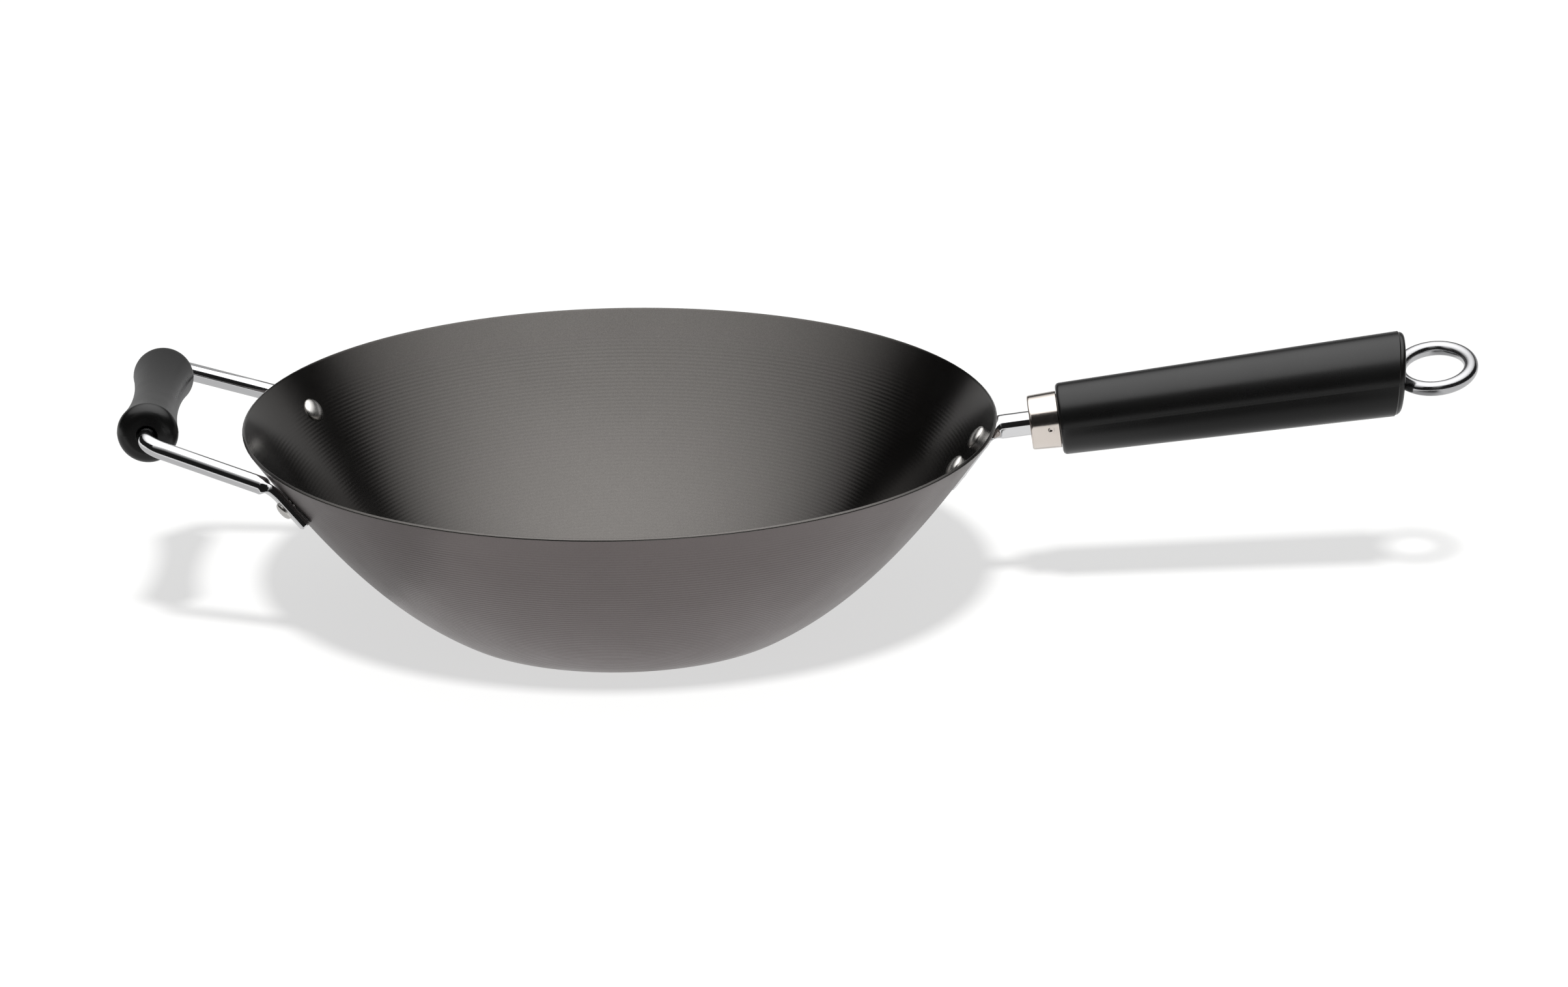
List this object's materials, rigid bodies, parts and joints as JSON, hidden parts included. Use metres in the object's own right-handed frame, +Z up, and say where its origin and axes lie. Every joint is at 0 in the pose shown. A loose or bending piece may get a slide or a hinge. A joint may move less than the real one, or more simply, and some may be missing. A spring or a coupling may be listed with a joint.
{
  "type": "wok",
  "caption": "Flat-based non-stick wok with a riveted long handle, a hanging loop at its end, and a helper handle with a spinning spool grip.",
  "frame": {"origin": "centre of the base's underside, on the bowl's axis", "axes": "+Z up along the bowl's axis, +X along the long handle"},
  "size_m": [0.5549, 0.31, 0.1158],
  "materials": {
    "coated_steel": "grey-black non-stick coat over fine turned grooves, semi-gloss inside",
    "chrome": "bright plated steel",
    "rivet_steel": "polished steel",
    "satin_nickel": "satin, warm",
    "phenolic": "satin black moulded",
    "zinc": "zinc plated"
  },
  "bodies": {
    "wok": {"wok_bowl": "coated_steel", "handle_neck": "chrome", "neck_rivet_upper": "rivet_steel", "neck_rivet_lower": "rivet_steel", "ferrule": "satin_nickel", "handle_grip": "phenolic", "loop_washer": "zinc", "helper_bail": "chrome", "helper_rivet_front": "rivet_steel", "helper_rivet_back": "rivet_steel"},
    "helper_spool": {"helper_grip": "phenolic"},
    "loop": {"hanging_loop": "chrome"}
  },
  "joints": [
    {"name": "helper_grip_spin", "type": "hinge", "parent": "wok", "child": "helper_spool", "pos_m": [-0.1903, 0, 0.0922], "axis": [0, 1, 0], "continuous": true},
    {"name": "hanging_loop_turn", "type": "hinge", "parent": "wok", "child": "loop", "pos_m": [0.31585, 0, 0.09791], "axis": [0.992, 0, 0.1262], "continuous": true}
  ]
}
